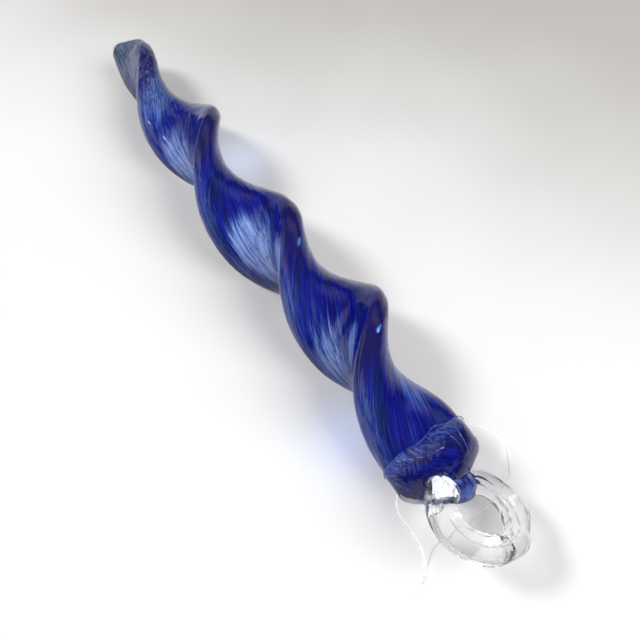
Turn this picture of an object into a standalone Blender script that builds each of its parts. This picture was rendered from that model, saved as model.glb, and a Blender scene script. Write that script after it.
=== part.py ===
"""A hand-made twisted glass icicle: a cobalt bar cased in clear glass, with a clear end drawn out into a hanging
ring, and a knotted loop of clear nylon line through the ring. It lies on a table: +Z is up, the tip points to -X and
the ring to +X. Everything is in metres."""

import math

import bmesh
import bpy
import numpy as np
from mathutils import Vector
from mathutils.geometry import interpolate_bezier

# The twisted body, along X from its tip to its butt. A fraction of 0 is the tip and 1 the butt.
TIP_X = -0.0968
BODY_LENGTH = 0.175
BUTT_X = TIP_X + BODY_LENGTH
SIDE_OFFSETS = ((0.0, 0.0037), (0.25, -0.0014), (0.6, 0.0005), (1.0, -0.0006))
AXIS_HEIGHTS = ((0.0, 0.0101), (0.25, 0.0109), (0.6, 0.0139), (1.0, 0.0094))
HALF_WIDTHS = (
    (0.0, 0.0046),
    (0.06, 0.0073),
    (0.14, 0.0090),
    (0.25, 0.0111),
    (0.4, 0.0102),
    (0.6, 0.0122),
    (0.8, 0.0116),
    (1.0, 0.0096),
)
TWIST_DEGREES = (
    (0.0, 21.0),
    (0.12, 85.0),
    (0.25, 176.0),
    (0.4, 287.0),
    (0.55, 400.0),
    (0.7, 520.0),
    (0.85, 662.0),
    (1.0, 773.0),
)
THICKNESS_RATIOS = ((0.0, 0.58), (0.5, 0.46), (1.0, 0.59))
LOBE_SHIFTS = ((0.0, -0.14), (0.33, -0.16), (0.66, -0.12), (1.0, 0.0))
SECTION_POWER = 2.5
WAIST_DEPTH = 0.15
TIP_SKEW = 0.86
TIP_SKEW_FADE = 0.07
TIP_ROUNDING = 0.0016

# The clear casing round the cobalt core, and the gap that touching pieces keep.
CASING_WALL = 0.0012
GAP = 0.0003
CORE_START = 0.022
BODY_STATIONS = 64
SECTION_POINTS = 22

# The clear glass end over the butt: a lip over the casing, then a rounded end.
BODY_END = 0.960
LIP_START = 0.942
LIP_STANDOUT = 0.0006
CAP_END = 1.008
CAP_THICKENING = 0.0026
CAP_ROUNDING = 0.0062
CAP_STATIONS = 26

# The hanging ring: a clear strand that leaves the end low on the +Y side and is pressed back on high on the -Y side.
RING_CENTRE = Vector((BUTT_X + 0.0083, 0.0003, 0.0098))
RING_RADIUS = 0.0087
RING_ROLL = math.radians(22.0)
RING_PITCH = math.radians(5.5)
STRAND_RADIUS = 0.0025
STRAND_FLARE = 0.0009
RING_START = math.radians(150.0)
RING_SWEEP = math.radians(-296.0)
RING_POINTS = 34
SEAL_RADII = (0.0040, 0.0042, 0.0034)
SEAL_ANGLE = math.radians(-146.0)

# The nylon line, 0.4 mm thick, in a closed loop tied with one knot.
LINE_RADIUS = 0.0002
LINE_ROUTE = (
    (0.0888, -0.0134, 0.0003),
    (0.0875, -0.0122, 0.0012),
    (0.0867, -0.0112, 0.0026),
    (0.0861, -0.0098, 0.0042),
    (0.0860, -0.0070, 0.0060),
    (0.0864, -0.0025, 0.0072),
    (0.0862, 0.0020, 0.0082),
    (0.0853, 0.0060, 0.0095),
    (0.0841, 0.0090, 0.0101),
    (0.0830, 0.0114, 0.0089),
    (0.0815, 0.0135, 0.0063),
    (0.0795, 0.0158, 0.0033),
    (0.0774, 0.0178, 0.0012),
    (0.0753, 0.0193, 0.0003),
    (0.0733, 0.0200, 0.00022),
    (0.0707, 0.0193, 0.00022),
    (0.0677, 0.0177, 0.00022),
    (0.0655, 0.0150, 0.00022),
    (0.0643, 0.0110, 0.00022),
    (0.0641, 0.0065, 0.00022),
    (0.0649, 0.0020, 0.00022),
    (0.0665, -0.0025, 0.00022),
    (0.0689, -0.0066, 0.00022),
    (0.0719, -0.0096, 0.00022),
    (0.0753, -0.0110, 0.00022),
    (0.0789, -0.0111, 0.00022),
    (0.0825, -0.0112, 0.00022),
    (0.0855, -0.0121, 0.00022),
    (0.0879, -0.0134, 0.0003),
)
LINE_POINTS = 78
KNOT_CENTRE = Vector((0.0901, -0.0148, 0.0009))
KNOT_SIZE = 0.00029
KNOT_HEIGHT = 0.00036
KNOT_POINTS = 40
TAG_ROUTES = {
    "line_tag_long": ((0.0915, -0.0152, 0.0008), (0.0925, -0.0150, 0.0005), (0.0935, -0.0145, 0.0003)),
    "line_tag_short": ((0.0907, -0.0161, 0.0008), (0.0911, -0.0170, 0.0005), (0.0910, -0.0180, 0.0003)),
}
TAG_POINTS = 8


def clear_scene():
    for obj in list(bpy.data.objects):
        bpy.data.objects.remove(obj, do_unlink=True)


def collection(name):
    made = bpy.data.collections.new(name)
    bpy.context.scene.collection.children.link(made)
    return made


def glass(name, colour, roughness, transmission):
    material = bpy.data.materials.new(name)
    material.use_nodes = True
    shader = material.node_tree.nodes["Principled BSDF"]
    shader.inputs["Base Color"].default_value = (*colour, 1.0)
    shader.inputs["Roughness"].default_value = roughness
    shader.inputs["Metallic"].default_value = 0.0
    shader.inputs["Transmission Weight"].default_value = transmission
    material.diffuse_color = (*colour, 1.0)
    return material


def smooth_value(stations, at):
    """The value at a fraction, on a smooth curve through (fraction, value) stations."""
    places = [place for place, _ in stations]
    values = [value for _, value in stations]
    slopes = np.gradient(values, places)
    last = len(places) - 2
    k = min(max(int(np.searchsorted(places, at, side="right")) - 1, 0), last)
    step = places[k + 1] - places[k]
    u = min(max((at - places[k]) / step, -0.2), 1.2)
    rise = values[k] * (2 * u**3 - 3 * u**2 + 1) + values[k + 1] * (3 * u**2 - 2 * u**3)
    return rise + step * (slopes[k] * (u**3 - 2 * u**2 + u) + slopes[k + 1] * (u**3 - u**2))


def body_section(at, inset=0.0, shrink=1.0, thicken=0.0):
    """The ring of points round the two-lobed section at a fraction of the length, turned by the twist there."""
    full_width = smooth_value(HALF_WIDTHS, at)
    half_width = (full_width - inset) * shrink
    half_thickness = (full_width * smooth_value(THICKNESS_RATIOS, at) - inset + thicken) * shrink
    shift = full_width * smooth_value(LOBE_SHIFTS, at)
    turn = math.radians(smooth_value(TWIST_DEGREES, at))
    skew = TIP_SKEW * max(0.0, 1 - at / TIP_SKEW_FADE) ** 2
    middle = Vector((0.0, smooth_value(SIDE_OFFSETS, at), smooth_value(AXIS_HEIGHTS, at)))
    points = []
    for k in range(SECTION_POINTS):
        angle = 2 * math.pi * k / SECTION_POINTS
        across = math.copysign(abs(math.cos(angle)) ** (2 / SECTION_POWER), math.cos(angle))
        over = math.copysign(abs(math.sin(angle)) ** (2 / SECTION_POWER), math.sin(angle))
        x = half_width * across + shift
        y = half_thickness * over * (1 - WAIST_DEPTH * (1 - across**2))
        side = x * math.cos(turn) - y * math.sin(turn)
        up = x * math.sin(turn) + y * math.cos(turn)
        along = TIP_X + at * BODY_LENGTH + skew * x
        points.append(middle + Vector((along, side, up)))
    return points


def rounded(distance, radius):
    """How far out a rounded end stands at a distance from its last point, from 0 there to 1 at the radius."""
    u = min(max(distance / radius, 0.0), 1.0)
    return math.sqrt(1 - (1 - u) ** 2)


def place(obj, into, material):
    into.objects.link(obj)
    if material:
        obj.data.materials.append(material)
    return obj


def loft(name, rings, into, material=None):
    """A closed solid through rings of points, with a fan over the first ring and the last."""
    body = bmesh.new()
    rows = [[body.verts.new(point) for point in ring] for ring in rings]
    count = len(rings[0])
    for one, two in zip(rows, rows[1:]):
        for k in range(count):
            body.faces.new((one[k], one[(k + 1) % count], two[(k + 1) % count], two[k]))
    for row in (rows[0], rows[-1]):
        middle = body.verts.new(sum((v.co for v in row), Vector()) / count)
        for k in range(count):
            body.faces.new((row[k], row[(k + 1) % count], middle))
    bmesh.ops.recalc_face_normals(body, faces=body.faces)
    mesh = bpy.data.meshes.new(name)
    body.to_mesh(mesh)
    body.free()
    mesh.shade_smooth()
    mesh.set_sharp_from_angle(angle=math.radians(50))
    return place(bpy.data.objects.new(name, mesh), into, material)


def body_rings(first, last, inset, stations):
    """Sections from one fraction to another, closed in to a rounded end at the first."""
    rings = []
    for k in range(stations):
        at = first + (last - first) * (k / (stations - 1)) ** 1.15
        closing = rounded((at - first) * BODY_LENGTH + TIP_ROUNDING * 0.12, TIP_ROUNDING)
        rings.append(body_section(at, inset, closing))
    return rings


def make_core(into, material):
    inset = CASING_WALL + GAP
    rings = body_rings(CORE_START, BODY_END, inset, BODY_STATIONS)
    return loft("cobalt_core", rings, into, material)


def make_casing(into, material):
    """The casing is open at the butt, where the clear end closes it."""
    outside = body_rings(0.0, BODY_END, 0.0, BODY_STATIONS)
    inside = body_rings(CORE_START - GAP / BODY_LENGTH, BODY_END, CASING_WALL, BODY_STATIONS)
    return loft("clear_casing", outside + inside[::-1], into, material)


def cap_solid(name, grow, into, material=None):
    """The whole outer form of the clear end, with its lip but without its socket."""
    rings = []
    length = (CAP_END - LIP_START) * BODY_LENGTH
    for k in range(CAP_STATIONS):
        part = k / (CAP_STATIONS - 1)
        at = LIP_START + (CAP_END - LIP_START) * part
        left = length * (1 - part)
        swell = math.sin(math.pi * min(part * 1.25, 1.0)) ** 0.7
        closing = rounded(left + CAP_ROUNDING * 0.05, CAP_ROUNDING)
        standout = LIP_STANDOUT * rounded(part * length + 0.0003, 0.0015) + grow
        rings.append(body_section(at, -standout, closing, CAP_THICKENING * swell))
    return loft(name, rings, into, material)


def cutter(obj):
    obj.hide_render = True
    obj.display_type = "WIRE"
    return obj


def cut(obj, tool):
    boolean = obj.modifiers.new("cut_" + tool.name, "BOOLEAN")
    boolean.operation = "DIFFERENCE"
    boolean.object = tool


def make_cap(into, cutters, material):
    cap = cap_solid("clear_end", 0.0, into, material)
    stations = 8
    first = LIP_START - 0.02
    rings = []
    for k in range(stations):
        at = first + (BODY_END + GAP / BODY_LENGTH - first) * k / (stations - 1)
        rings.append(body_section(at, -GAP))
    cut(cap, cutter(loft("socket_cutter", rings, cutters)))
    return cap


def ring_point(angle, radius=RING_RADIUS):
    """A point on the ring's centre line. At 0 it is furthest from the body, and at 90 degrees furthest to +Y."""
    outward = Vector((math.cos(RING_PITCH), 0.0, math.sin(RING_PITCH)))
    across = Vector((0.0, math.cos(RING_ROLL), -math.sin(RING_ROLL)))
    return RING_CENTRE + radius * (outward * math.cos(angle) + across * math.sin(angle))


def tube(name, points, radii, into, material=None, cyclic=False, sides=2):
    """A tube of round section along the points, with closed ends."""
    data = bpy.data.curves.new(name, "CURVE")
    data.dimensions = "3D"
    data.bevel_depth = max(radii)
    data.bevel_resolution = sides
    data.use_fill_caps = not cyclic
    spline = data.splines.new("POLY")
    spline.points.add(len(points) - 1)
    for spot, point, radius in zip(spline.points, points, radii):
        spot.co = (*point, 1.0)
        spot.radius = radius / max(radii)
    spline.use_cyclic_u = cyclic
    return place(bpy.data.objects.new(name, data), into, material)


def as_mesh(obj, into):
    """The curve as a mesh with its caps joined on, so that it can be cut."""
    graph = bpy.context.evaluated_depsgraph_get()
    mesh = bpy.data.meshes.new_from_object(obj.evaluated_get(graph))
    body = bmesh.new()
    body.from_mesh(mesh)
    bmesh.ops.remove_doubles(body, verts=body.verts, dist=1e-6)
    body.to_mesh(mesh)
    body.free()
    mesh.shade_smooth()
    mesh.set_sharp_from_angle(angle=math.radians(50))
    made = bpy.data.objects.new(obj.name + "_solid", mesh)
    made.matrix_world = obj.matrix_world
    name = obj.name
    bpy.data.objects.remove(obj, do_unlink=True)
    made.name = name
    into.objects.link(made)
    return made


def make_ring(into, cutters, material):
    points = []
    radii = []
    for k in range(RING_POINTS):
        part = k / (RING_POINTS - 1)
        points.append(ring_point(RING_START + RING_SWEEP * part))
        radii.append(STRAND_RADIUS + STRAND_FLARE * (max(0.0, 1 - part / 0.2) ** 2 + min(part / 0.6, 1.0)))
    ring = as_mesh(tube("hanging_ring", points, radii, into, material, sides=5), into)
    cut(ring, cutter(cap_solid("cap_cutter", GAP, cutters)))
    cut(ring, cutter(seal_solid("seal_cutter", GAP, cutters)))
    return ring


def seal_solid(name, grow, into, material=None):
    """The pressed end of the strand: a flattened ball."""
    ball = bmesh.new()
    bmesh.ops.create_uvsphere(ball, u_segments=20, v_segments=12, radius=1.0)
    for vert in ball.verts:
        vert.co = Vector(c * (r + grow) for c, r in zip(vert.co, SEAL_RADII))
    mesh = bpy.data.meshes.new(name)
    ball.to_mesh(mesh)
    ball.free()
    mesh.shade_smooth()
    made = place(bpy.data.objects.new(name, mesh), into, material)
    made.location = ring_point(SEAL_ANGLE)
    made.rotation_euler = (-RING_ROLL, 0.0, math.radians(35.0))
    return made


def make_seal(into, cutters, material):
    seal = seal_solid("ring_seal", 0.0, into, material)
    cut(seal, bpy.data.objects["cap_cutter"])
    return seal


def smooth_path(route, count):
    """Evenly spaced points on a smooth curve through a route's points."""
    spots = [Vector(spot) for spot in route]
    fine = []
    for k in range(len(spots) - 1):
        before = spots[max(k - 1, 0)]
        after = spots[min(k + 2, len(spots) - 1)]
        out = spots[k] + (spots[k + 1] - before) / 6
        back = spots[k + 1] - (after - spots[k]) / 6
        fine += interpolate_bezier(spots[k], out, back, spots[k + 1], 12)[:-1]
    fine.append(spots[-1])
    runs = [0.0]
    for one, two in zip(fine, fine[1:]):
        runs.append(runs[-1] + (two - one).length)
    wanted = np.linspace(0.0, runs[-1], count)
    return [Vector(np.interp(wanted[k], runs, [p[axis] for p in fine]) for axis in range(3)) for k in range(count)]


def make_line(into, material):
    points = smooth_path(LINE_ROUTE, LINE_POINTS)
    return tube("hanging_line", points, [LINE_RADIUS] * len(points), into, material)


def make_knot(into, material):
    """A trefoil, which is the shape of a closed overhand knot."""
    points = []
    for k in range(KNOT_POINTS):
        angle = 2 * math.pi * k / KNOT_POINTS
        x = math.sin(angle) + 2 * math.sin(2 * angle)
        y = math.cos(angle) - 2 * math.cos(2 * angle)
        z = -math.sin(3 * angle)
        points.append(KNOT_CENTRE + Vector((KNOT_SIZE * x, KNOT_SIZE * y, KNOT_HEIGHT * z)))
    return tube("line_knot", points, [LINE_RADIUS] * len(points), into, material, cyclic=True)


def make_tags(into, material):
    for name, route in TAG_ROUTES.items():
        points = smooth_path(route, TAG_POINTS)
        tube(name, points, [LINE_RADIUS] * len(points), into, material)


def main():
    clear_scene()
    parts = collection("glass_icicle")
    cutters = collection("cutters")
    cobalt = glass("cobalt_glass", (0.012, 0.016, 0.20), 0.06, 0.4)
    clear = glass("clear_glass", (0.92, 0.95, 0.97), 0.02, 1.0)
    nylon = glass("clear_nylon", (0.85, 0.87, 0.86), 0.25, 0.7)
    make_core(parts, cobalt)
    make_casing(parts, clear)
    make_cap(parts, cutters, clear)
    make_ring(parts, cutters, clear)
    make_seal(parts, cutters, clear)
    make_line(parts, nylon)
    make_knot(parts, nylon)
    make_tags(parts, nylon)


main()
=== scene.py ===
"""The looks of the twisted glass icicle: a streaked cobalt bar in a clear casing, a clear end with a
drawn-out hanging ring, and a knotted nylon loop, lying on a pale table in soft light. Everything is in
metres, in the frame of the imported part."""

import math

import bmesh
import bpy
import numpy as np
from mathutils import Matrix, Vector, noise
from mathutils.geometry import interpolate_bezier


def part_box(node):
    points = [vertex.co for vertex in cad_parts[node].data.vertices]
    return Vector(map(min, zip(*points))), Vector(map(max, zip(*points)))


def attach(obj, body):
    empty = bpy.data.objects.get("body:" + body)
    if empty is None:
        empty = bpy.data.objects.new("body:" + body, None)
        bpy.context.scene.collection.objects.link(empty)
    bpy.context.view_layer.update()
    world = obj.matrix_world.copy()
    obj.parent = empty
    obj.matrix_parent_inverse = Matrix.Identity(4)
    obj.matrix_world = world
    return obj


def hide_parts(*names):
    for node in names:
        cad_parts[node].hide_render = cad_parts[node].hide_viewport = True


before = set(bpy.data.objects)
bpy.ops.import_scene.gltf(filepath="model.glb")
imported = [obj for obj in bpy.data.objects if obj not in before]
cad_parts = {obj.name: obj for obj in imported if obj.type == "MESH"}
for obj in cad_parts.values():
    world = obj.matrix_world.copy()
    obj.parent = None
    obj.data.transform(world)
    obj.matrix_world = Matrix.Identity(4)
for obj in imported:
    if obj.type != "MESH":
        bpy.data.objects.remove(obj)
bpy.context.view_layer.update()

# The body's form, as the frame's part has it: stations along the length, 0 at the tip and 1 at the butt.
BODY_LENGTH = 0.175
BODY_END = 0.960
SIDE_OFFSETS = ((0.0, 0.0037), (0.25, -0.0014), (0.6, 0.0005), (1.0, -0.0006))
AXIS_HEIGHTS = ((0.0, 0.0101), (0.25, 0.0109), (0.6, 0.0139), (1.0, 0.0094))
HALF_WIDTHS = (
    (0.0, 0.0046),
    (0.06, 0.0073),
    (0.14, 0.0090),
    (0.25, 0.0111),
    (0.4, 0.0102),
    (0.6, 0.0122),
    (0.8, 0.0116),
    (1.0, 0.0096),
)
TWIST_DEGREES = (
    (0.0, 21.0),
    (0.12, 85.0),
    (0.25, 176.0),
    (0.4, 287.0),
    (0.55, 400.0),
    (0.7, 520.0),
    (0.85, 662.0),
    (1.0, 773.0),
)
THICKNESS_RATIOS = ((0.0, 0.58), (0.5, 0.46), (1.0, 0.59))
LOBE_SHIFTS = ((0.0, -0.14), (0.33, -0.16), (0.66, -0.12), (1.0, 0.0))
SECTION_POWER = 2.5
WAIST_DEPTH = 0.15
TIP_SKEW = 0.86
TIP_SKEW_FADE = 0.07
TIP_ROUNDING = 0.00288
TIP_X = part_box("clear_casing")[1].x - BODY_END * BODY_LENGTH
BUTT_X = TIP_X + BODY_LENGTH

# Fine surfaces.
BODY_STATIONS = 300
SECTION_POINTS = 96
CASING_SKIN = 0.0008
CORE_START = 0.0035
CORE_END = 0.994
END_INSET = 0.0002
END_SHIFT = Vector((0.0, 0.0005, 0.0004))
CORE_SWIRL = 3.0
CORE_TIP_ROUNDING = 0.0026
CORE_BUTT_ROUNDING = 0.0055
CASING_END = 0.9475
CASING_END_ROUNDING = 0.0015
# A rounded end's last row stops this far short of a point.
LEAST_REACH = 0.000002
# The unevenness of hand-pulled glass: height, how many waves to the metre, and seed.
CORE_RIPPLE = (0.00012, 260.0, 3.1)
CASING_RIPPLE = (0.00010, 260.0, 7.7)
CAP_RIPPLE = (0.00035, 230.0, 11.0)

# The clear end.
LIP_START = 0.942
LIP_STANDOUT = 0.0006
LIP_ROUNDING = 0.0015
LIP_CLEARANCE = 0.0005
# The lip's line: how far past the start it lies, and how far it wanders, as fractions of the body.
LIP_LINE = 0.003
LIP_WANDER = 0.016
LIP_RADIUS = 0.00013
LIP_SWELL = 0.00014
LIP_POINTS = 260
FOLD_POINTS = 40
CAP_END = 1.008
CAP_THICKENING = 0.0026
CAP_ROUNDING = 0.0062
CAP_STATIONS = 70

# Folds drawn over the clear end: angle at the lip and at the ring, in degrees, fraction along the body at
# the lip and at the ring, and thickness.
FOLDS = (
    (62.0, 34.0, 0.945, 0.990, 0.00010),
    (40.0, 20.0, 0.947, 0.997, 0.00013),
    (150.0, 120.0, 0.948, 0.985, 0.00010),
    (255.0, 225.0, 0.946, 0.984, 0.00012),
)

# The ring and the pressed end of its strand.
RING_CENTRE = Vector((BUTT_X + 0.0083, 0.0003, 0.0098))
RING_RADIUS = 0.0087
RING_ROLL = math.radians(22.0)
RING_PITCH = math.radians(5.5)
STRAND_RADIUS = 0.0025
STRAND_FLARE = 0.0009
STRAND_TRIM = 0.00006
STRAND_ROUNDING = 0.0036
RING_START = math.radians(158.0)
RING_SWEEP = math.radians(-322.0)
END_LIFT = 0.0020
# Knobs and pinches on the strand: fraction along it, reach, height.
STRAND_KNOBS = (
    (0.43, 0.022, 0.00034),
    (0.37, 0.030, -0.00034),
    (0.50, 0.018, -0.00018),
    (0.30, 0.020, 0.00014),
)
# Drawn-out air lines in the strand: distance from its middle, angle round it, first and last fraction.
DRAWN_LINES = (
    (0.0013, 0.4, 0.10, 0.80),
    (0.0016, 2.3, 0.22, 0.93),
    (0.0010, 4.2, 0.05, 0.60),
    (0.0018, 5.3, 0.35, 0.75),
)
DRAWN_LINE_RADIUS = 0.00011
DRAWN_LINE_POINTS = 90
RING_STATIONS = 260
RING_SIDES = 48
SEAL_ANGLE = math.radians(-148.0)
SEAL_SWELL = 0.0007
SEED_OFFSET = Vector((0.0, 0.0, 0.0004))
SEED_RADII = (0.0017, 0.0022, 0.0012)
BUBBLE_ANGLE = math.radians(-122.0)
BUBBLE_RADII = (0.0010, 0.0017, 0.0008)
BALL_RINGS = 36
BALL_SIDES = 48

# The web of blue glass between the ring's root and its pressed end, and a smear under the pressed end.
WEB_CENTRE = Vector((BUTT_X + 0.0013, 0.0008, 0.0088))
WEB_RADII = (0.0034, 0.0046, 0.0030)
WEB_TURN = math.radians(-22.0)
SMEAR_ANGLE = math.radians(-118.0)
SMEAR_OFFSET = 0.0020
SMEAR_RADII = (0.00025, 0.0016, 0.0005)

# Wisps of blue in the ring's root: to +Y, up, how far round the strand, and thickness.
WISP_POINTS = 60
WISP_FLATNESS = 0.7
# Where a wisp comes from, behind the strand's root, and how much wider it is spread there.
WISP_RUN_UP = ((-0.0085, 1.6), (-0.0030, 1.2))
WISPS = (
    (0.0, 0.0002, 0.075, 0.00260),
    (-0.0013, 0.0010, 0.10, 0.00070),
    (0.0008, 0.0013, 0.13, 0.00050),
)

# The nylon line, 0.4 mm thick: the same route as in the frame.
LINE_RADIUS = 0.0002
LINE_ROUTE = (
    (0.0888, -0.0134, 0.0003),
    (0.0875, -0.0122, 0.0012),
    (0.0867, -0.0112, 0.0026),
    (0.0861, -0.0098, 0.0042),
    (0.0860, -0.0070, 0.0060),
    (0.0864, -0.0025, 0.0072),
    (0.0862, 0.0020, 0.0082),
    (0.0853, 0.0060, 0.0095),
    (0.0841, 0.0090, 0.0101),
    (0.0830, 0.0114, 0.0089),
    (0.0815, 0.0135, 0.0063),
    (0.0795, 0.0158, 0.0033),
    (0.0774, 0.0178, 0.0012),
    (0.0753, 0.0193, 0.0003),
    (0.0733, 0.0200, 0.00022),
    (0.0707, 0.0193, 0.00022),
    (0.0677, 0.0177, 0.00022),
    (0.0655, 0.0150, 0.00022),
    (0.0643, 0.0110, 0.00022),
    (0.0641, 0.0065, 0.00022),
    (0.0649, 0.0020, 0.00022),
    (0.0665, -0.0025, 0.00022),
    (0.0689, -0.0066, 0.00022),
    (0.0719, -0.0096, 0.00022),
    (0.0753, -0.0110, 0.00022),
    (0.0789, -0.0111, 0.00022),
    (0.0825, -0.0112, 0.00022),
    (0.0855, -0.0121, 0.00022),
    (0.0879, -0.0134, 0.0003),
)
KNOT_CENTRE = Vector((0.0901, -0.0148, 0.0009))
KNOT_SIZE = 0.00029
KNOT_HEIGHT = 0.00036
LINE_POINTS = 320
KNOT_POINTS = 120
TAG_POINTS = 24
TAG_ROUTES = {
    "line_tag_long": ((0.0915, -0.0152, 0.0008), (0.0925, -0.0150, 0.0005), (0.0935, -0.0145, 0.0003)),
    "line_tag_short": ((0.0907, -0.0161, 0.0008), (0.0911, -0.0170, 0.0005), (0.0910, -0.0180, 0.0003)),
}

# The camera: close above the ring's end, looking along the body towards the tip.
CAMERA_TARGET = Vector((0.02826, -0.00212, 0.0111))
CAMERA_DISTANCE = 0.1891
CAMERA_AZIMUTH = math.radians(57.92)
CAMERA_ELEVATION = math.radians(55.27)
CAMERA_LENS = 44.09

# The room: its light low down and overhead, at the horizon and in its two windows, and its tints.
ROOM_LIGHT = (0.05, 0.17)
HORIZON_LIGHT = 0.45
WINDOW_LIGHT = 1.2
FAR_WINDOW_LIGHT = 0.45
LOW_TINT = (0.93, 0.95, 1.0)
HIGH_TINT = (1.0, 0.985, 0.96)

# The lamps: place, size, power. The spark shows only in the glass's surface, as crisp glints.
KEY = ((-0.36, -0.48, 0.66), 0.26, 4.4)
FILL = ((0.55, 0.34, 0.60), 0.70, 6.8)
SPARK = ((-0.30, -0.40, 0.62), 0.05, 0.10)
# The blue light on the table beside the bar: place, power, colour.
GLOWS = {
    "glow_near": ((0.0545, -0.0100), 0.00042, (0.14, 0.32, 1.0)),
    "glow_far": ((-0.041, 0.0125), 0.00050, (0.40, 0.58, 1.0)),
}
GLOW_SIZE = 0.014
GLOW_HEIGHT = 0.010
GLOW_SPREAD = math.radians(150.0)

# The table: white in front, and painted greyer and warmer behind, as shade.
TABLE_REACH = 3.0
TABLE_FRONT = (0.85, 0.85, 0.85)
TABLE_BACK_SHADE = (0.50, 0.485, 0.465)
TABLE_AWAY = (-0.5, 0.86, 0.0)


# ---------------------------------------------------------------- camera, table and light


def make_camera():
    """The camera at the photo's viewing angle."""
    data = bpy.data.cameras.new("camera")
    data.lens = CAMERA_LENS
    data.clip_start = 0.005
    camera = bpy.data.objects.new("camera", data)
    bpy.context.scene.collection.objects.link(camera)
    flat = math.cos(CAMERA_ELEVATION)
    side, ahead = math.sin(CAMERA_AZIMUTH) * flat, math.cos(CAMERA_AZIMUTH) * flat
    back = Vector((side, -ahead, math.sin(CAMERA_ELEVATION)))
    camera.location = CAMERA_TARGET + back * CAMERA_DISTANCE
    camera.rotation_mode = "QUATERNION"
    camera.rotation_quaternion = (-back).to_track_quat("-Z", "Y")
    bpy.context.scene.camera = camera


class Graph:
    """A short way to write shader nodes."""

    def __init__(self, name, world=None):
        if world:
            self.owner = world
        else:
            self.owner = bpy.data.materials.new(name)
            self.owner.use_nodes = True
        self.nodes = self.owner.node_tree.nodes
        self.links = self.owner.node_tree.links
        self.shader = self.nodes.get("Principled BSDF")

    def put(self, socket, value):
        if isinstance(value, bpy.types.NodeSocket):
            self.links.new(value, socket)
        elif isinstance(value, tuple) and len(value) == 3 and socket.type == "RGBA":
            socket.default_value = (*value, 1.0)
        else:
            socket.default_value = value

    def node(self, kind, out=0, settings=None, **inputs):
        made = self.nodes.new(kind)
        for key, value in (settings or {}).items():
            setattr(made, key, value)
        for key, value in inputs.items():
            # i0, i1 and so on are numbered sockets.
            numbered = key[0] == "i" and key[1:].isdigit()
            self.put(made.inputs[int(key[1:]) if numbered else key.replace("_", " ")], value)
        return made.outputs[out]

    def math(self, operation, one, two=0.0, clamp=False):
        settings = {"operation": operation, "use_clamp": clamp}
        return self.node("ShaderNodeMath", 0, settings, i0=one, i1=two)

    def plus(self, one, two):
        return self.math("ADD", one, two)

    def times(self, one, two):
        return self.math("MULTIPLY", one, two)

    def dot(self, vector, direction):
        return self.node("ShaderNodeVectorMath", 1, {"operation": "DOT_PRODUCT"}, i0=vector, i1=direction)

    def far_from(self, one, one_at, one_reach, two, two_at, two_reach):
        """The squared distance from a spot in two values, where 1 is at the spot's reach."""
        along = self.math("DIVIDE", self.math("SUBTRACT", one, one_at), one_reach)
        over = self.math("DIVIDE", self.math("SUBTRACT", two, two_at), two_reach)
        return self.plus(self.times(along, along), self.times(over, over))

    def mix(self, factor, one, two):
        made = self.nodes.new("ShaderNodeMix")
        made.data_type = "RGBA"
        self.put(made.inputs[0], factor)
        self.put(made.inputs[6], one)
        self.put(made.inputs[7], two)
        return made.outputs[2]

    def attribute(self, name):
        return self.node("ShaderNodeAttribute", 1, {"attribute_name": name})

    def scaled(self, vector, scale, shift=(0.0, 0.0, 0.0)):
        return self.node("ShaderNodeMapping", 0, None, Vector=vector, Scale=scale, Location=shift)

    def noise(self, vector, scale=1.0, detail=3.0, roughness=0.55, out=0):
        inputs = {"Vector": vector, "Scale": scale, "Detail": detail, "Roughness": roughness}
        return self.node("ShaderNodeTexNoise", out, None, **inputs)

    def ramp(self, factor, low, high, to_low=0.0, to_high=1.0):
        """A smooth step from to_low at low to to_high at high."""
        made = self.nodes.new("ShaderNodeMapRange")
        made.interpolation_type = "SMOOTHSTEP"
        for socket, value in zip(made.inputs, (factor, low, high, to_low, to_high)):
            self.put(socket, value)
        return made.outputs[0]

    def bump(self, height, distance, strength=1.0):
        return self.node("ShaderNodeBump", 0, None, Strength=strength, Distance=distance, Height=height)

    def set(self, **inputs):
        for key, value in inputs.items():
            self.put(self.shader.inputs[key.replace("_", " ")], value)


def make_world():
    """A dim room with a soft window high on the left of the view, another behind the far end, and a pale
    band along the horizon."""
    world = bpy.data.worlds.new("studio")
    world.use_nodes = True
    bpy.context.scene.world = world
    graph = Graph("", world)
    background = world.node_tree.nodes["Background"]
    place = graph.node("ShaderNodeTexCoord", 0)
    split = graph.nodes.new("ShaderNodeSeparateXYZ")
    graph.links.new(place, split.inputs[0])
    x, y, z = split.outputs
    left = graph.plus(graph.times(x, -0.55), graph.times(y, -0.83))
    window = graph.times(graph.ramp(left, 0.40, 0.80), graph.ramp(z, 0.20, 0.50))
    window = graph.times(window, graph.ramp(z, 0.90, 0.60))
    far = graph.plus(graph.times(x, -0.60), graph.times(y, 0.80))
    far_window = graph.times(graph.ramp(far, 0.50, 0.80), graph.ramp(z, 0.30, 0.60))
    light = graph.plus(graph.ramp(z, 0.02, 0.95, *ROOM_LIGHT), graph.ramp(z, 0.22, 0.0, 0.0, HORIZON_LIGHT))
    light = graph.plus(light, graph.times(window, WINDOW_LIGHT))
    light = graph.plus(light, graph.times(far_window, FAR_WINDOW_LIGHT))
    tint = graph.mix(graph.ramp(z, 0.1, 0.8), LOW_TINT, HIGH_TINT)
    graph.put(background.inputs["Color"], tint)
    graph.put(background.inputs["Strength"], light)


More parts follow.
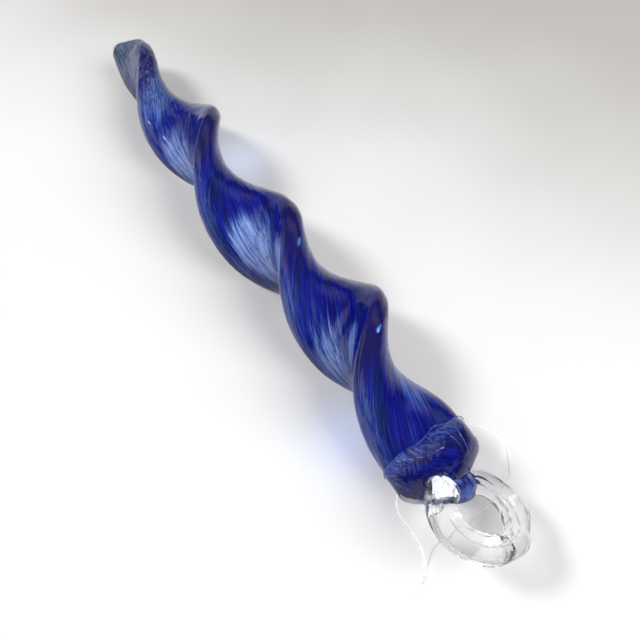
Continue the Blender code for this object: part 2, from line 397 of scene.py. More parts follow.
def area_light(name, place, size, power, aim=(0.0, 0.0, 0.0), colour=(1.0, 1.0, 1.0)):
    """A round soft lamp that points at its aim."""
    data = bpy.data.lights.new(name, "AREA")
    data.shape = "DISK"
    data.size = size
    data.energy = power
    data.color = colour
    lamp = bpy.data.objects.new(name, data)
    bpy.context.scene.collection.objects.link(lamp)
    lamp.location = place
    lamp.rotation_mode = "QUATERNION"
    lamp.rotation_quaternion = (Vector(aim) - Vector(place)).to_track_quat("-Z", "Y")
    return lamp


def make_lamps():
    area_light("key", *KEY).visible_glossy = False
    area_light("fill", *FILL).visible_glossy = False
    area_light("spark", *SPARK).visible_diffuse = False
    # Light that has come down through the cobalt glass onto the table beside it.
    for name, (place, power, colour) in GLOWS.items():
        glow = area_light(name, (*place, GLOW_HEIGHT), GLOW_SIZE, power, (*place, 0.0), colour)
        glow.data.spread = GLOW_SPREAD
        for ray in ("visible_camera", "visible_glossy", "visible_transmission"):
            setattr(glow, ray, False)


def make_table():
    """A pale, faintly clouded table, which isn't part of the object."""
    graph = Graph("pale_table")
    place = graph.node("ShaderNodeNewGeometry", 0)
    fine = graph.noise(place, 420.0, 4.0)
    # Painted shade: the table's colour greys and warms away from the front, along a clouded edge.
    clouds = graph.times(graph.math("SUBTRACT", graph.noise(place, 9.0, 2.0), 0.5), 0.10)
    away = graph.plus(graph.dot(place, TABLE_AWAY), clouds)
    shade = graph.mix(graph.ramp(away, -0.02, 0.15), TABLE_FRONT, TABLE_BACK_SHADE)
    graph.set(Base_Color=shade, Roughness=graph.ramp(fine, 0.3, 0.7, 0.52, 0.62), Specular_IOR_Level=0.25)
    graph.set(Normal=graph.bump(fine, 0.00002, 0.4))
    mesh = bpy.data.meshes.new("table")
    corners = [(x * TABLE_REACH, y * TABLE_REACH, 0) for x, y in ((-1, -1), (1, -1), (1, 1), (-1, 1))]
    mesh.from_pydata(corners, [], [(0, 1, 2, 3)])
    mesh.materials.append(graph.owner)
    table = bpy.data.objects.new("table", mesh)
    bpy.context.scene.collection.objects.link(table)


# ---------------------------------------------------------------- shapes


def smooth_value(stations, at):
    """The value at a fraction, on a smooth curve through (fraction, value) stations."""
    places = [place for place, _ in stations]
    values = [value for _, value in stations]
    slopes = np.gradient(values, places)
    last = len(places) - 2
    k = min(max(int(np.searchsorted(places, at, side="right")) - 1, 0), last)
    step = places[k + 1] - places[k]
    u = min(max((at - places[k]) / step, -0.2), 1.2)
    rise = values[k] * (2 * u**3 - 3 * u**2 + 1) + values[k + 1] * (3 * u**2 - 2 * u**3)
    return rise + step * (slopes[k] * (u**3 - 2 * u**2 + u) + slopes[k + 1] * (u**3 - u**2))


def rounded(distance, radius):
    """How far a rounded end has opened, from 0 to 1, at a distance from its point."""
    u = min(max(distance / radius, 0.0), 1.0)
    return math.sqrt(1 - (1 - u) ** 2)


def body_section(at, inset=0.0, shrink=1.0, thicken=0.0):
    """(points, grain, place, outward) round the section. grain is the point in the section before the
    twist, and the distance along, in millimetres; place is the fraction along, how far across the section
    it is (-1 to 1), and its face; outward is the direction from the axis."""
    full_width = smooth_value(HALF_WIDTHS, at)
    half_width = (full_width - inset) * shrink
    half_thickness = (full_width * smooth_value(THICKNESS_RATIOS, at) - inset + thicken) * shrink
    shift = full_width * smooth_value(LOBE_SHIFTS, at)
    turn = math.radians(smooth_value(TWIST_DEGREES, at))
    skew = TIP_SKEW * max(0.0, 1 - at / TIP_SKEW_FADE) ** 2
    middle = Vector((0.0, smooth_value(SIDE_OFFSETS, at), smooth_value(AXIS_HEIGHTS, at)))
    points = []
    grain = []
    place = []
    outward = []
    for k in range(SECTION_POINTS):
        angle = 2 * math.pi * k / SECTION_POINTS
        across = math.copysign(abs(math.cos(angle)) ** (2 / SECTION_POWER), math.cos(angle))
        over = math.copysign(abs(math.sin(angle)) ** (2 / SECTION_POWER), math.sin(angle))
        x = half_width * across + shift
        y = half_thickness * over * (1 - WAIST_DEPTH * (1 - across**2))
        side = x * math.cos(turn) - y * math.sin(turn)
        up = x * math.sin(turn) + y * math.cos(turn)
        points.append(middle + Vector((TIP_X + at * BODY_LENGTH + skew * x, side, up)))
        grain.append((1000 * x, 1000 * y, 1000 * at * BODY_LENGTH))
        place.append((at, across, over))
        reach = math.hypot(side, up) or 1.0
        outward.append((0.0, side / reach, up / reach))
    return points, grain, place, outward


def loft(name, rows):
    """A closed surface through rows of (points, grain, place, outward), with a fan over each end."""
    count = len(rows[0][0])
    verts = [point for row in rows for point in row[0]]
    grain = [value for row in rows for value in row[1]]
    place = [value for row in rows for value in row[2]]
    outward = [value for row in rows for value in row[3]]
    faces = []
    for j in range(len(rows) - 1):
        for k in range(count):
            k2 = (k + 1) % count
            faces.append((j * count + k, j * count + k2, (j + 1) * count + k2, (j + 1) * count + k))
    for first in (0, (len(rows) - 1) * count):
        ring = range(first, first + count)
        verts.append(sum((verts[i] for i in ring), Vector()) / count)
        for table in (grain, place, outward):
            table.append(tuple(np.mean([table[i] for i in ring], axis=0)))
        faces += [(first + k, first + (k + 1) % count, len(verts) - 1) for k in range(count)]
    mesh = bpy.data.meshes.new(name)
    mesh.from_pydata(verts, [], faces)
    for key, values in (("grain", grain), ("place", place), ("outward", outward)):
        layer = mesh.attributes.new(key, "FLOAT_VECTOR", "POINT")
        layer.data.foreach_set("vector", np.array(values, np.float32).ravel())
    body = bmesh.new()
    body.from_mesh(mesh)
    bmesh.ops.recalc_face_normals(body, faces=body.faces)
    body.to_mesh(mesh)
    body.free()
    mesh.shade_smooth()
    return mesh


def make_piece(name, mesh, material, slot, *nodes):
    """A piece on the glass body that stands for these nodes of the frame."""
    mesh.materials.append(material)
    piece = bpy.data.objects.new(name, mesh)
    bpy.context.scene.collection.objects.link(piece)
    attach(piece, "glass")
    if nodes:
        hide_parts(*nodes)
    return piece


def clear_piece(*details):
    """A piece of clear glass, which lets the lamps' light through to the bar and the table."""
    make_piece(*details).visible_shadow = False


def ripple(points, closing, settings):
    """Moves each point in or out from the row's middle, and less where the form closes in."""
    height, scale, seed = settings
    amount = height * closing
    middle = sum(points, Vector()) / len(points)
    moved = []
    for point in points:
        wave = noise.noise(point * scale + Vector((seed, 0.0, 0.0)))
        moved.append(point + (point - middle).normalized() * amount * (wave - 0.4))
    return moved


def spread(part):
    """Stations gathered towards both ends, where the form rounds over."""
    return part - 0.85 * math.sin(2 * math.pi * part) / (2 * math.pi)


def closing_in(at, first, last, first_rounding, last_rounding):
    """How far the form has opened, from 0 to 1, at a fraction of the body between two rounded ends."""
    opened = rounded((at - first) * BODY_LENGTH + LEAST_REACH, first_rounding)
    return opened * rounded((last - at) * BODY_LENGTH + LEAST_REACH, last_rounding)


def end_swell(along):
    """How much the clear end is thickened, at a fraction along it."""
    return CAP_THICKENING * math.sin(math.pi * min(max(along, 0.0) * 1.25, 1.0)) ** 0.7


def make_core(material):
    """The cobalt bar. Its butt swells inside the clear end and its colour winds into a swirl there."""
    rows = []
    for k in range(BODY_STATIONS):
        at = CORE_START + (CORE_END - CORE_START) * spread(k / (BODY_STATIONS - 1))
        closing = closing_in(at, CORE_START, CORE_END, CORE_TIP_ROUNDING, CORE_BUTT_ROUNDING)
        into_end = min(max((at - LIP_START) / (CAP_END - LIP_START), 0.0), 1.0)
        inset = CASING_SKIN + END_INSET * min(into_end * 3.0, 1.0)
        points, grain, place, outward = body_section(at, inset, closing, 0.8 * end_swell(into_end))
        wind = CORE_SWIRL * into_end**1.5
        c, s = math.cos(wind), math.sin(wind)
        grain = [(x * c - y * s, x * s + y * c, z) for x, y, z in grain]
        points = [point + END_SHIFT * into_end for point in points]
        rows.append((ripple(points, closing, CORE_RIPPLE), grain, place, outward))
    make_piece("cobalt_bar", loft("cobalt_bar", rows), material, "cobalt_glass", "cobalt_core")


def make_casing(material):
    """The clear glass over the bar, up to the lip of the clear end."""
    rows = []
    for k in range(BODY_STATIONS):
        at = CASING_END * spread(k / (BODY_STATIONS - 1))
        closing = closing_in(at, 0.0, CASING_END, TIP_ROUNDING, CASING_END_ROUNDING)
        points, *attributes = body_section(at, shrink=closing)
        rows.append((ripple(points, closing, CASING_RIPPLE), *attributes))
    clear_piece("casing_skin", loft("casing_skin", rows), material, "casing_glass", "clear_casing")


def make_cap(material):
    """The clear end, gathered over the bar's butt."""
    rows = []
    length = (CAP_END - LIP_START) * BODY_LENGTH
    for k in range(CAP_STATIONS):
        along = spread(k / (CAP_STATIONS - 1))
        at = LIP_START + (CAP_END - LIP_START) * along
        left = length * (1 - along)
        closing = rounded(left + 0.00003, CAP_ROUNDING)
        standout = LIP_STANDOUT * rounded(along * length, LIP_ROUNDING)
        points, *attributes = body_section(at, -standout, closing, end_swell(along))
        rows.append((ripple(points, closing, CAP_RIPPLE), *attributes))
    clear_piece("clear_end_cap", loft("clear_end_cap", rows), material, "clear_glass", "clear_end")


def cap_surface(at, angle):
    """A point on the clear end's outer surface, at a fraction along and an angle round the section, kept
    clear of the table."""
    along = (at - LIP_START) / (CAP_END - LIP_START)
    closing = rounded((CAP_END - at) * BODY_LENGTH + 0.0003, CAP_ROUNDING)
    ring = body_section(at, -LIP_STANDOUT, closing, end_swell(along))[0]
    turn = (math.degrees(angle) % 360.0) / 360.0 * len(ring)
    k = int(turn) % len(ring)
    spot = ring[k].lerp(ring[(k + 1) % len(ring)], turn - int(turn))
    spot.z = max(spot.z, LIP_CLEARANCE)
    return spot


def make_folds(material):
    """The lip where the clear end was gathered over the bar, and the folds drawn from it to the ring."""
    lip = []
    radii = []
    for k in range(LIP_POINTS):
        angle = 2 * math.pi * k / LIP_POINTS
        c, s = math.cos(angle), math.sin(angle)
        wander = noise.noise(Vector((2.1 * c, 2.1 * s, 4.0)))
        swell = noise.noise(Vector((5 * c, 5 * s, 9.0)))
        lip.append(cap_surface(LIP_START + LIP_LINE + LIP_WANDER * wander, angle))
        radii.append(LIP_RADIUS + LIP_SWELL * swell)
    mesh = loft("lip_fold", tube_rows(lip + lip[:1], radii + radii[:1], 12))
    body = bmesh.new()
    body.from_mesh(mesh)
    for start, end, first, last, thick in FOLDS:
        path = []
        sizes = []
        for k in range(FOLD_POINTS):
            part = k / (FOLD_POINTS - 1)
            angle = start + (end - start) * part + 5.0 * math.sin(5.0 * part)
            path.append(cap_surface(first + (last - first) * part, math.radians(angle)))
            sizes.append(thick * max(0.12, math.sin(math.pi * part) ** 0.6))
        body.from_mesh(loft("fold", tube_rows(path, sizes, 10)))
    body.to_mesh(mesh)
    body.free()
    mesh.shade_smooth()
    clear_piece("lip_fold", mesh, material, "casing_glass")


def ring_point(angle, radius=RING_RADIUS):
    """A point in the tilted ring's plane."""
    outward = Vector((math.cos(RING_PITCH), 0.0, math.sin(RING_PITCH)))
    across = Vector((0.0, math.cos(RING_ROLL), -math.sin(RING_ROLL)))
    return RING_CENTRE + radius * (outward * math.cos(angle) + across * math.sin(angle))


def tube_rows(points, radii, sides, flat=1.0):
    """Rows round a tube along points, with grain running along it."""
    rows = []
    before = (points[1] - points[0]).normalized()
    side = before.orthogonal().normalized()
    run = 0.0
    for j, point in enumerate(points):
        ahead = points[min(j + 1, len(points) - 1)] - points[max(j - 1, 0)]
        ahead.normalize()
        side = (before.rotation_difference(ahead) @ side).normalized()
        side = (side - ahead * side.dot(ahead)).normalized()
        other = ahead.cross(side)
        before = ahead
        run += (point - points[max(j - 1, 0)]).length
        part = j / (len(points) - 1)
        row = []
        grain = []
        place = []
        for k in range(sides):
            angle = 2 * math.pi * k / sides
            c, s = math.cos(angle), math.sin(angle)
            wave = noise.noise(Vector((c * 0.9, s * 0.9, run * 260.0)))
            groove = noise.noise(Vector((c * 2.6, s * 2.6, run * 60.0 + 5.0)))
            radius = radii[j] * (1 + 0.055 * (wave - 0.35) + 0.035 * groove)
            row.append(point + side * c * radius + other * s * radius * flat)
            grain.append((3.0 * c, 3.0 * s, 1000 * run))
            place.append((part, c, s))
        rows.append((row, grain, place, [(0.0, 0.0, 1.0)] * sides))
    return rows


def strand_point(part):
    """A point on the strand's centre line, whose last stretch lifts on to the glass it was pressed on."""
    lift = END_LIFT * min(max((part - 0.72) / 0.2, 0.0), 1.0) ** 1.6
    return ring_point(RING_START + RING_SWEEP * part) + Vector((0.0, 0.0, lift))


def drawn_line(offset, clock, first, last):
    """A thin drawn-out air line in the strand, turned inside out because it is a hollow in the glass."""
    points = []
    radii = []
    for j in range(DRAWN_LINE_POINTS):
        along = j / (DRAWN_LINE_POINTS - 1)
        part = first + (last - first) * along
        ahead = (strand_point(part + 0.004) - strand_point(part)).normalized()
        side = ahead.cross(Vector((0.0, 0.0, 1.0))).normalized()
        above = side.cross(ahead)
        turn = clock + 1.2 * math.sin(3.0 * part)
        points.append(strand_point(part) + offset * (math.cos(turn) * side + math.sin(turn) * above))
        radii.append(DRAWN_LINE_RADIUS * max(0.05, math.sin(math.pi * along) ** 0.4))
    mesh = loft("drawn_line", tube_rows(points, radii, 8))
    mesh.flip_normals()
    return mesh


def strand_radius(part):
    """The strand's radius, from its root in the clear end to its pressed end."""
    base = STRAND_RADIUS + STRAND_FLARE * (max(0.0, 1 - part / 0.2) ** 2 + min(part / 0.6, 1.0))
    pressed = (SEAL_ANGLE - RING_START) / RING_SWEEP
    swell = SEAL_SWELL * math.exp(-(((part - pressed) / 0.05) ** 2))
    knobs = sum(height * math.exp(-(((part - where) / wide) ** 2)) for where, wide, height in STRAND_KNOBS)
    return base + swell + knobs - STRAND_TRIM


def make_ring(material):
    """The ring, with its strand's rounded end pressed back on the glass and air caught in it."""
    points = []
    radii = []
    run = RING_RADIUS * abs(RING_SWEEP)
    for j in range(RING_STATIONS):
        part = j / (RING_STATIONS - 1)
        part = part - 0.4 * math.sin(2 * math.pi * part) / (2 * math.pi)
        points.append(strand_point(part))
        radii.append(strand_radius(part) * rounded(min(part, 1 - part) * run + 0.00001, STRAND_ROUNDING))
    mesh = loft("ring_strand", tube_rows(points, radii, RING_SIDES))
    turn = Matrix.Rotation(BUBBLE_ANGLE, 3, "Z") @ Matrix.Rotation(-RING_ROLL, 3, "X")
    bubble = loft("bubble", ball_rows(ring_point(BUBBLE_ANGLE, RING_RADIUS + 0.0004), BUBBLE_RADII, turn))
    bubble.flip_normals()
    body = bmesh.new()
    body.from_mesh(mesh)
    body.from_mesh(bubble)
    for line in DRAWN_LINES:
        body.from_mesh(drawn_line(*line))
    body.to_mesh(mesh)
    body.free()
    mesh.shade_smooth()
    make_piece("ring_strand", mesh, material, "clear_glass", "hanging_ring", "ring_seal")


def make_seed_cloud(material):
    """Fine seeds caught where the strand's end was pressed on, which scatter the light there."""
    turn = Matrix.Rotation(SEAL_ANGLE, 3, "Z") @ Matrix.Rotation(-RING_ROLL, 3, "X")
    pressed = (SEAL_ANGLE - RING_START) / RING_SWEEP
    rows = ball_rows(strand_point(pressed) + SEED_OFFSET, SEED_RADII, turn, dent=0.5, seed=2.0)
    clear_piece("seed_cloud", loft("seed_cloud", rows), material, "clear_glass")


def ball_rows(centre, radii, turn, dent=0.0, seed=0.0):
    """Rows round an ellipsoid with these radii, turned, and dented by a smooth unevenness."""
    rows = []
    for j in range(BALL_RINGS):
        tilt = math.pi * (j + 0.5) / BALL_RINGS
        points = []
        place = []
        for k in range(BALL_SIDES):
            angle = 2 * math.pi * k / BALL_SIDES
            flat = math.sin(tilt)
            unit = Vector((flat * math.cos(angle), flat * math.sin(angle), math.cos(tilt)))
            wave = 1 + dent * (noise.noise(unit * 1.6 + Vector((seed, 0, 0))) - 0.4)
            points.append(centre + turn @ Vector(c * r * wave for c, r in zip(unit, radii)))
            place.append((j / BALL_RINGS, unit.x, unit.y))
        grain = [tuple(1000 * (point - centre)) for point in points]
        rows.append((points, grain, place, [(0.0, 0.0, 1.0)] * BALL_SIDES))
    return rows


def smooth_path(route, count):
    """Evenly spaced points on a smooth curve through a route's points."""
    spots = [Vector(spot) for spot in route]
    fine = []
    for k in range(len(spots) - 1):
        before = spots[max(k - 1, 0)]
        after = spots[min(k + 2, len(spots) - 1)]
        out = spots[k] + (spots[k + 1] - before) / 6
        back = spots[k + 1] - (after - spots[k]) / 6
        fine += interpolate_bezier(spots[k], out, back, spots[k + 1], 12)[:-1]
    fine.append(spots[-1])
    runs = [0.0]
    for one, two in zip(fine, fine[1:]):
        runs.append(runs[-1] + (two - one).length)
    wanted = np.linspace(0.0, runs[-1], count)
    axes = [np.interp(wanted, runs, [point[axis] for point in fine]) for axis in range(3)]
    return [Vector(point) for point in zip(*axes)]


def make_wisps(material):
    """Cobalt drawn out of the bar's butt into the ring's root, with a web and a smear of it."""
    body = bmesh.new()
    for side, above, reach, thick in WISPS:
        offset = Vector((0.0, side, above))
        route = [strand_point(0.0) + Vector((back, 0.0, 0.0)) + offset * wide for back, wide in WISP_RUN_UP]
        for part in (0.2, 0.4, 0.6, 0.8, 1.0):
            route.append(strand_point(reach * part) + offset * (1 - 0.6 * part))
        path = smooth_path(route, WISP_POINTS)
        sizes = []
        for k in range(WISP_POINTS):
            fade = (1 - k / (WISP_POINTS - 1)) ** 0.8
            sizes.append(thick * fade * rounded(k + 0.5, 4.0) + 0.00002)
        body.from_mesh(loft("wisp", tube_rows(path, sizes, 20, WISP_FLATNESS)))
    web = ball_rows(WEB_CENTRE, WEB_RADII, Matrix.Rotation(WEB_TURN, 3, "X"), dent=0.16, seed=4.0)
    # The web's grain is turned, so that its colour is drawn out along X.
    turned = []
    for points, grain, *others in web:
        turned.append((points, [(y, z, x) for x, y, z in grain], *others))
    body.from_mesh(loft("web", turned))
    turn = Matrix.Rotation(SMEAR_ANGLE, 3, "Z") @ Matrix.Rotation(-RING_ROLL, 3, "X")
    smear_at = ring_point(SMEAR_ANGLE, RING_RADIUS + SMEAR_OFFSET)
    body.from_mesh(loft("smear", ball_rows(smear_at, SMEAR_RADII, turn, dent=0.9, seed=6.0)))
    mesh = bpy.data.meshes.new("cobalt_wisps")
    body.to_mesh(mesh)
    body.free()
    mesh.shade_smooth()
    make_piece("cobalt_wisps", mesh, material, "cobalt_glass")


def line_piece(name, points, material, node, cyclic=False):
    """A length of the nylon line along points, in place of a node of the frame."""
    data = bpy.data.curves.new(name, "CURVE")
    data.dimensions = "3D"
    data.bevel_depth = LINE_RADIUS
    data.bevel_resolution = 4
    data.use_fill_caps = not cyclic
    spline = data.splines.new("POLY")
    spline.points.add(len(points) - 1)
    for spot, point in zip(spline.points, points):
        spot.co = (*point, 1.0)
    spline.use_cyclic_u = cyclic
    data.materials.append(material)
    piece = bpy.data.objects.new(name, data)
    bpy.context.scene.collection.objects.link(piece)
    piece.visible_shadow = False
    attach(piece, "line_loop")
    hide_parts(node)
    return piece


def make_line(material):
    """The closed nylon loop through the ring, its knot and its two cut ends."""
    points = smooth_path(LINE_ROUTE, LINE_POINTS)
    line = line_piece("nylon_loop", points, material, "hanging_line")
    knot_points = []
    for k in range(KNOT_POINTS):
        angle = 2 * math.pi * k / KNOT_POINTS
        x = math.sin(angle) + 2 * math.sin(2 * angle)
        y = math.cos(angle) - 2 * math.cos(2 * angle)
        z = -math.sin(3 * angle)
        knot_points.append(KNOT_CENTRE + Vector((KNOT_SIZE * x, KNOT_SIZE * y, KNOT_HEIGHT * z)))
    knot = line_piece("nylon_knot", knot_points, material, "line_knot", cyclic=True)
    for node, route in TAG_ROUTES.items():
        points = smooth_path(route, TAG_POINTS)
        line_piece(node.replace("line", "nylon"), points, material, node)


# ---------------------------------------------------------------- materials

# The bar's colours.
DEEP = (0.0006, 0.0010, 0.090)
COBALT = (0.003, 0.007, 0.185)
TEAL = (0.0025, 0.0090, 0.055)
MILKY = (0.060, 0.115, 0.360)
PALE = (0.25, 0.34, 0.62)
# NAVY is the thick edges' own dense colour and also their painted shade.
NAVY = (0.008, 0.005, 0.060)
BUTT_NAVY = (0.0015, 0.0012, 0.040)
VEIL = (0.10, 0.17, 0.42)
# Painted glint colour, for light gathered in the thick edge.
GLINT = (0.12, 0.32, 0.88)
FRIT = (0.085, 0.130, 0.260)
SMOKE = (0.018, 0.030, 0.060)
TIP_GREY = (0.13, 0.18, 0.26)

# The clear glass. Over the bar it has a lower index, so that the colour under it keeps its depth.
RING_TINT = (0.985, 0.99, 0.99)
CASING_TINT = (0.97, 0.98, 1.0)
END_TINT = (0.975, 0.98, 1.0)
GLASS_IOR = 1.5
SOFT_IOR = 1.42
# How much the noise on drawn glass is squeezed along it, which draws it out into lines.
LINE_STRETCH = 0.10

# The small pieces' colours.
FOLD_DEEP = (0.10, 0.16, 0.50)
FOLD_PALE = (0.42, 0.52, 0.85)
WISP_DEEP = (0.006, 0.008, 0.105)
WISP_PALE = (0.070, 0.110, 0.340)
SEED_DULL = (0.80, 0.84, 0.90)
SEED_BRIGHT = (0.97, 0.98, 1.0)
SEED_GLOW = (0.93, 0.97, 1.0)
SEED_IOR = 1.3
NYLON_DULL = (0.74, 0.76, 0.78)
NYLON_BRIGHT = (0.86, 0.87, 0.88)
NYLON_IOR = 1.53

# Where the frit gathered in pale clouds: fraction along, across, face (+1 or -1), reach along, reach
# across, and strength.
CLOUDS = (
    (0.33, 0.45, -1.0, 0.060, 0.55, 1.0),
    (0.565, -0.20, 1.0, 0.055, 0.75, 1.0),
    (0.775, 0.45, -1.0, 0.055, 0.55, 0.95),
    (0.905, -0.75, -1.0, 0.050, 0.40, 0.8),
    (0.20, 0.70, -1.0, 0.060, 0.60, 0.7),
    (0.45, 0.10, -1.0, 0.050, 0.60, 0.6),
    (0.68, 0.20, 1.0, 0.050, 0.60, 0.7),
    (0.86, 0.30, 1.0, 0.050, 0.60, 0.7),
    (0.635, 0.80, 1.0, 0.035, 0.25, 0.9),
    (0.800, -0.40, -1.0, 0.030, 0.30, 0.9),
)
# Painted glints, small bright spots where light gathers in the thick edge: fraction along, across, face,
# reach along, and reach across.
GLINTS = ((0.630, 0.92, -1.0, 0.008, 0.04), (0.806, -0.985, 1.0, 0.006, 0.015))


def cobalt_material():
    """Cobalt glass with a milky frit drawn into streaks that follow the twist."""
    graph = Graph("streaked_cobalt")
    grain = graph.attribute("grain")
    place = graph.attribute("place")
    split = graph.nodes.new("ShaderNodeSeparateXYZ")
    graph.links.new(place, split.inputs[0])
    at, across, over = split.outputs
    warp = graph.noise(graph.scaled(grain, (0.10, 0.10, 0.05)), 1.0, 2.0, out=1)
    add_warp = {"operation": "MULTIPLY_ADD"}
    bent = graph.node("ShaderNodeVectorMath", 0, add_warp, i0=warp, i1=(2.6, 2.6, 0.0), i2=grain)
    fine = graph.noise(graph.scaled(bent, (3.6, 3.6, 0.090)), 1.0, 6.0, 0.74)
    threads = graph.noise(graph.scaled(bent, (1.7, 1.7, 0.045), (7.0, 2.0, 0.0)), 1.0, 4.0, 0.62)
    broad = graph.noise(graph.scaled(bent, (0.42, 0.42, 0.028), (3.0, 1.0, 0.0)), 1.0, 3.0, 0.55)
    speckle = graph.noise(graph.scaled(bent, (1.9, 1.9, 0.55)), 1.0, 4.0, 0.65)
    cloud = graph.ramp(broad, 0.56, 0.74, 0.0, 0.42)
    for where, across_at, face, reach, wide, strength in CLOUDS:
        far = graph.far_from(at, where, reach, across, across_at, wide)
        far = graph.plus(far, graph.times(graph.math("SUBTRACT", broad, 0.5), 2.4))
        facing = graph.ramp(graph.times(over, face), 0.0, 0.5)
        patch = graph.times(graph.ramp(far, 1.5, 0.1, 0.0, strength), facing)
        cloud = graph.math("MAXIMUM", cloud, patch)
    # Painted light and shade by the way an edge points: edges that point to -Y are painted milky and
    # lighter, as light, and edges that point up and to +Y are painted navy, as shade.
    outward = graph.attribute("outward")
    left = graph.dot(outward, (0.0, -0.93, 0.25))
    right = graph.dot(outward, (0.0, 0.57, 0.82))
    rim = graph.ramp(graph.math("ABSOLUTE", across), 0.70, 0.97)
    painted_light_edge = graph.times(rim, graph.ramp(left, 0.55, 0.95, 0.0, 0.60))
    # The painted light on the -Y edges joins the frit clouds, so there it also thickens and pales the
    # streaks.
    cloud = graph.math("MAXIMUM", cloud, painted_light_edge)
    # Streaks are dense in a cloud and sparse outside it.
    streak = graph.ramp(graph.plus(fine, graph.times(cloud, 0.20)), 0.50, 0.74)
    deep = graph.mix(graph.ramp(threads, 0.42, 0.60), DEEP, COBALT)
    stains = graph.noise(graph.scaled(bent, (0.30, 0.30, 0.060), (1.0, 8.0, 2.0)), 1.0, 3.0, 0.6)
    deep = graph.mix(graph.ramp(stains, 0.50, 0.66, 0.0, 0.8), deep, TEAL)
    share = graph.math("ADD", 0.26, graph.times(cloud, 0.74), clamp=True)
    colour = graph.mix(graph.times(streak, share), deep, MILKY)
    bright = graph.times(graph.ramp(streak, 0.75, 1.0), graph.ramp(cloud, 0.5, 1.0))
    colour = graph.mix(graph.times(bright, 0.75), colour, PALE)
    # Thick edges of the strip are navy, and there the colour is densest; the navy is also painted shade,
    # full on edges that point up and to +Y and faint on the others.
    edge = graph.ramp(graph.math("ABSOLUTE", across), 0.80, 0.99, 0.0, 0.85)
    edge = graph.times(edge, graph.ramp(right, 0.25, 0.85, 0.12, 1.0))
    colour = graph.mix(edge, colour, NAVY)
    butt = graph.ramp(at, 0.944, 0.962, 0.0, 0.62)
    colour = graph.mix(graph.times(butt, graph.ramp(threads, 0.62, 0.45)), colour, BUTT_NAVY)
    # Under the gathered lip the frit shows as a thin veil.
    veil = graph.times(graph.ramp(at, 0.938, 0.948), graph.ramp(at, 0.966, 0.952))
    veil = graph.times(veil, graph.ramp(threads, 0.42, 0.64, 0.05, 0.45))
    colour = graph.mix(veil, colour, VEIL)
    # Painted glints: bright spots of light mixed into the colour.
    for where, across_at, face, reach, wide in GLINTS:
        far = graph.far_from(at, where, reach, across, across_at, wide)
        facing = graph.ramp(graph.times(over, face), 0.0, 0.1)
        spot = graph.times(graph.ramp(far, 1.0, 0.2), graph.times(facing, graph.ramp(fine, 0.44, 0.54)))
        colour = graph.mix(spot, colour, GLINT)
    # Frit lies in specks near the tip, which fades to a smoky clear grey.
    specks = graph.times(graph.ramp(speckle, 0.52, 0.64), graph.ramp(at, 0.33, 0.18, 0.0, 0.75))
    colour = graph.mix(specks, colour, FRIT)
    uneven = graph.times(graph.math("SUBTRACT", broad, 0.5), 0.10)
    tip = graph.ramp(graph.plus(at, uneven), 0.115, 0.055)
    smoke = graph.mix(graph.ramp(fine, 0.42, 0.62), SMOKE, TIP_GREY)
    colour = graph.mix(graph.times(tip, 0.9), colour, smoke)
    graph.set(Base_Color=colour, Roughness=0.55, Specular_IOR_Level=0.0)
    return graph.owner


def clear_material(name, tint, ior, roughness, ripple_scale, ripple_depth):
    """Clear drawn glass. Its surface carries faint lines along the way it was drawn."""
    graph = Graph(name)
    grain = graph.attribute("grain")
    stretch = (ripple_scale, ripple_scale, ripple_scale * LINE_STRETCH)
    lines = graph.noise(graph.scaled(grain, stretch), 1.0, 3.0, 0.5)
    slow = graph.noise(graph.scaled(grain, (0.25, 0.25, 0.12)), 1.0, 2.0)
    height = graph.plus(lines, graph.times(slow, 3.0))
    graph.set(
        Base_Color=graph.mix(graph.ramp(slow, 0.3, 0.7), tint, tuple(min(1.0, c * 1.02) for c in tint)),
        Roughness=graph.ramp(lines, 0.3, 0.8, roughness, roughness * 2.2),
        Transmission_Weight=1.0,
        IOR=ior,
        Normal=graph.bump(height, ripple_depth),
    )
    return graph.owner


def fold_material():
    """Clear glass with a trace of milky blue, where the gather folded over itself."""
    graph = Graph("folded_glass")
    grain = graph.attribute("grain")
    streaks = graph.noise(graph.scaled(grain, (0.6, 0.6, 0.5)), 1.0, 3.0)
    graph.set(
        Base_Color=graph.mix(graph.ramp(streaks, 0.35, 0.65), FOLD_DEEP, FOLD_PALE),
        Roughness=graph.ramp(streaks, 0.3, 0.7, 0.04, 0.12),
        Transmission_Weight=graph.ramp(streaks, 0.35, 0.6, 0.75, 1.0),
        IOR=GLASS_IOR,
    )
    return graph.owner


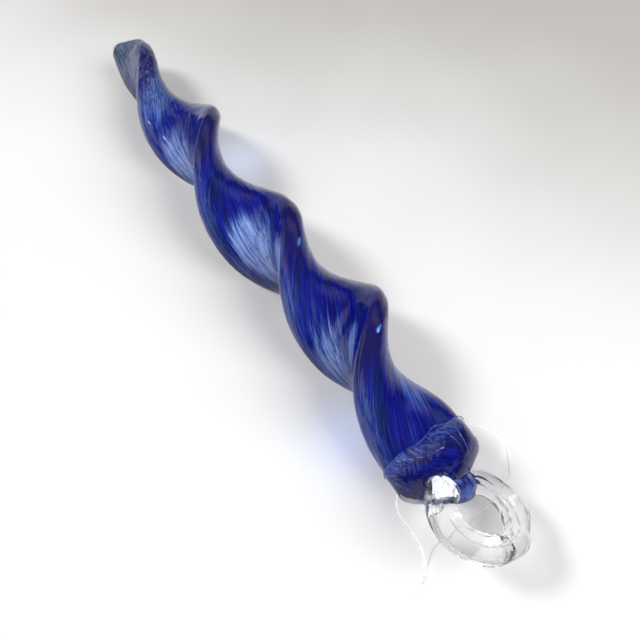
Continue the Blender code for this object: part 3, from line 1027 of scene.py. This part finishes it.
def wisp_material():
    """Glossy cobalt glass, paler along its streaks."""
    graph = Graph("cobalt_wisp")
    grain = graph.attribute("grain")
    streaks = graph.noise(graph.scaled(grain, (0.7, 0.7, 0.25)), 1.0, 3.0)
    graph.set(
        Base_Color=graph.mix(graph.ramp(streaks, 0.38, 0.62), WISP_DEEP, WISP_PALE),
        Roughness=graph.ramp(streaks, 0.3, 0.7, 0.06, 0.14),
        Specular_IOR_Level=0.5,
    )
    return graph.owner


def seeded_material():
    """Milky seeded glass. Its faint glow stands for the light that the seeds scatter."""
    graph = Graph("seeded_glass")
    grain = graph.attribute("grain")
    seeds = graph.noise(graph.scaled(grain, (1.2, 1.2, 1.2)), 1.0, 3.0)
    graph.set(
        Base_Color=graph.mix(graph.ramp(seeds, 0.35, 0.65), SEED_DULL, SEED_BRIGHT),
        Roughness=graph.ramp(seeds, 0.3, 0.7, 0.35, 0.6),
        Transmission_Weight=graph.ramp(seeds, 0.35, 0.65, 0.75, 0.35),
        IOR=SEED_IOR,
        Emission_Color=SEED_GLOW,
        Emission_Strength=graph.ramp(seeds, 0.40, 0.60, 0.10, 0.55),
    )
    return graph.owner


def nylon_material():
    """Clear nylon line with a trace of haze."""
    graph = Graph("clear_nylon")
    place = graph.node("ShaderNodeNewGeometry", 0)
    waves = graph.noise(place, 900.0, 2.0)
    graph.set(
        Base_Color=graph.mix(waves, NYLON_DULL, NYLON_BRIGHT),
        Roughness=graph.ramp(waves, 0.3, 0.7, 0.08, 0.16),
        Transmission_Weight=0.9,
        IOR=NYLON_IOR,
    )
    return graph.owner


# ---------------------------------------------------------------- the scene

bpy.context.scene.view_settings.view_transform = "Standard"
make_camera()
make_line(nylon_material())
make_world()
make_table()
make_core(cobalt_material())
make_casing(clear_material("casing_glass", CASING_TINT, SOFT_IOR, 0.015, 0.55, 0.00012))
make_cap(clear_material("end_glass", END_TINT, SOFT_IOR, 0.012, 0.9, 0.00012))
make_ring(clear_material("clear_glass", RING_TINT, GLASS_IOR, 0.012, 0.9, 0.00010))
make_folds(fold_material())
make_wisps(wisp_material())
make_seed_cloud(seeded_material())
make_lamps()
